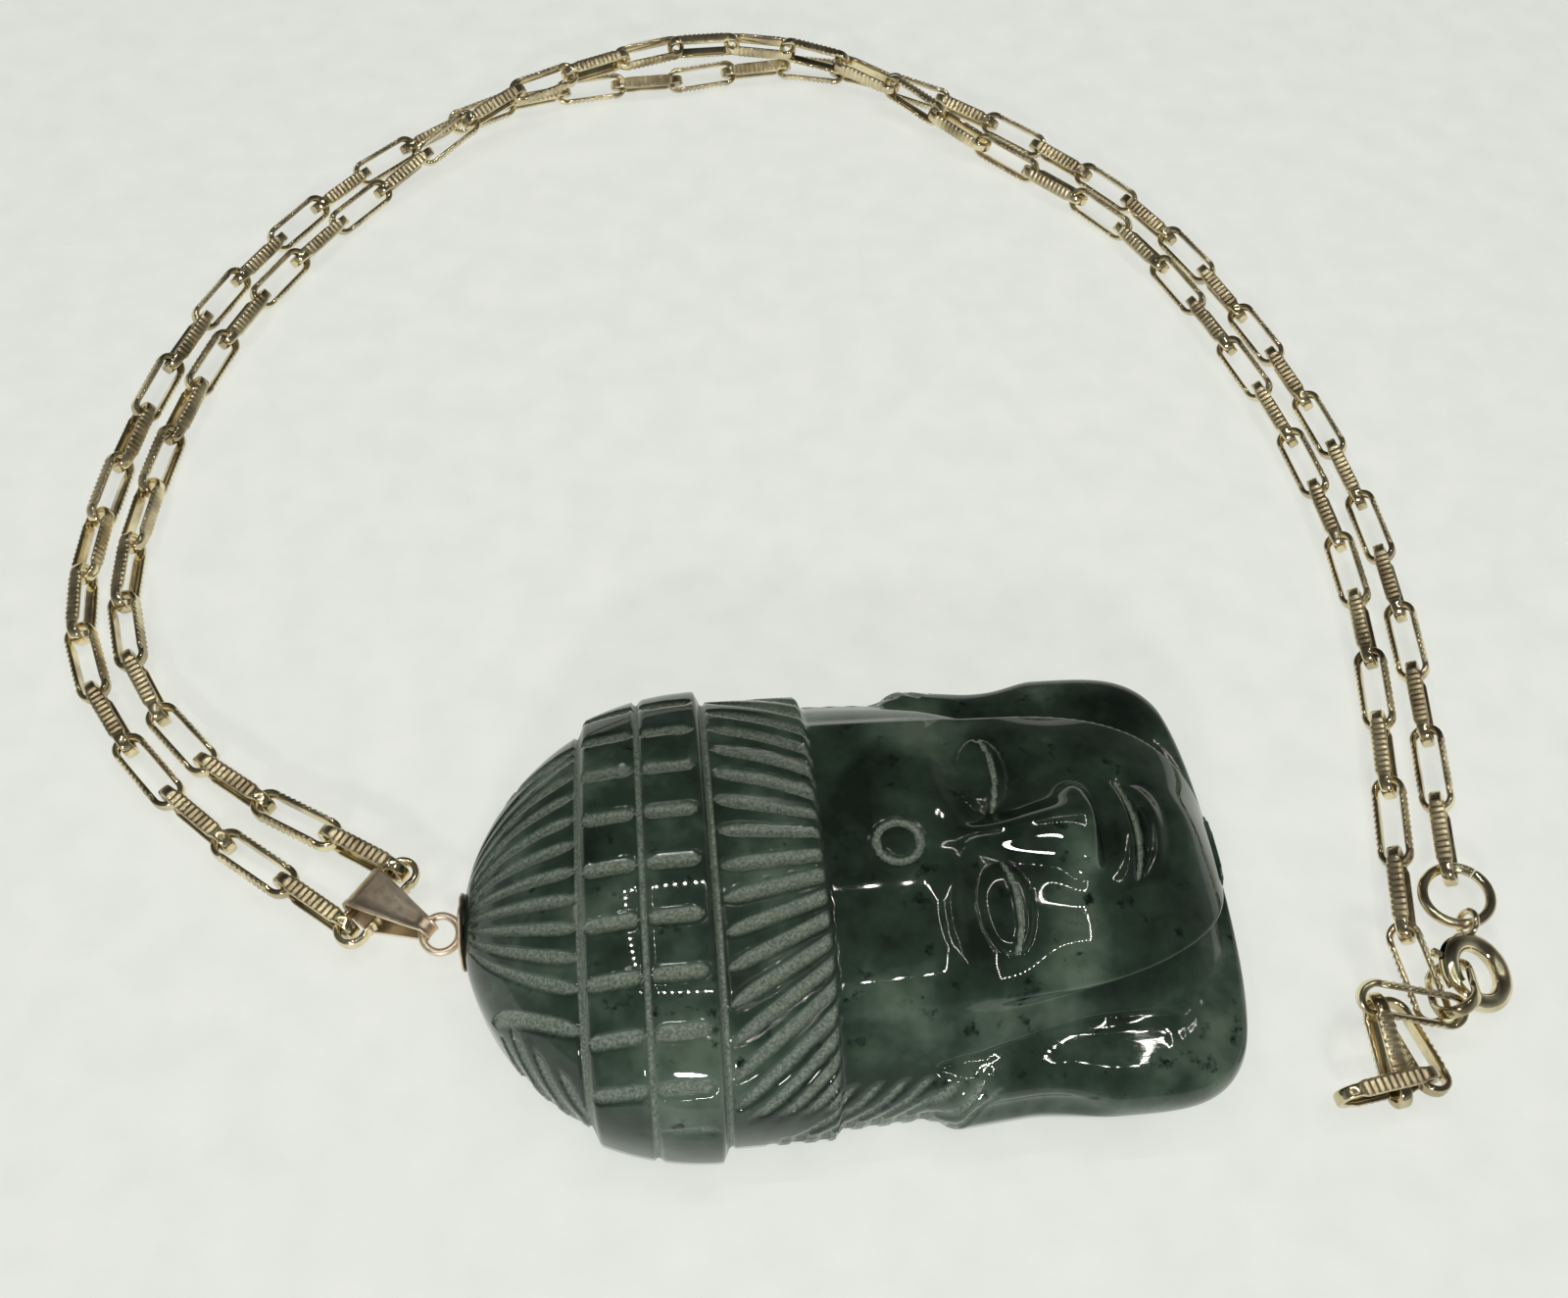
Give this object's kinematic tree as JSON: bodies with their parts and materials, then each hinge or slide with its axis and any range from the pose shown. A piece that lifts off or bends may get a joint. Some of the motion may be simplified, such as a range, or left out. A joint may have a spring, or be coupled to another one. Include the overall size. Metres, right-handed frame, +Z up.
{
  "type": "jade buddha pendant on a chain",
  "caption": "Carved jade head pendant, flat at the back, with a cap, ring and folded bail on a flat-wire link chain that closes with a spring ring clasp, lying face up.",
  "frame": {"origin": "centre of the stone's flat back, where it rests", "axes": "+X runs from the crown to the chin, +Y across the stone towards the long curve of the chain, +Z up out of the back"},
  "size_m": [0.1135, 0.1219, 0.015],
  "materials": {
    "jade": "polished dark green nephrite, unpolished in the cut grooves",
    "bail_metal": "gold plate, worn and slightly matte",
    "chain_metal": "pale yellow gold plate, polished",
    "clasp_metal": "pale yellow gold plate, polished"
  },
  "bodies": {
    "root": {"jade_head": "jade", "bell_cap": "bail_metal", "bail": "bail_metal", "chain_outer": "chain_metal", "chain_inner": "chain_metal", "chain_tail": "chain_metal", "jump_ring": "clasp_metal", "clasp_ring": "clasp_metal"},
    "bolt": {"clasp_bolt": "clasp_metal"}
  },
  "joints": [
    {"name": "bolt_slide", "type": "hinge", "parent": "root", "child": "bolt", "pos_m": [0.0454, -0.00825, 0.00175], "axis": [0.3083, -0.0698, 0.9487], "range_deg": [-46, 0], "stiffness_Nm_per_rad": 0.0002}
  ]
}
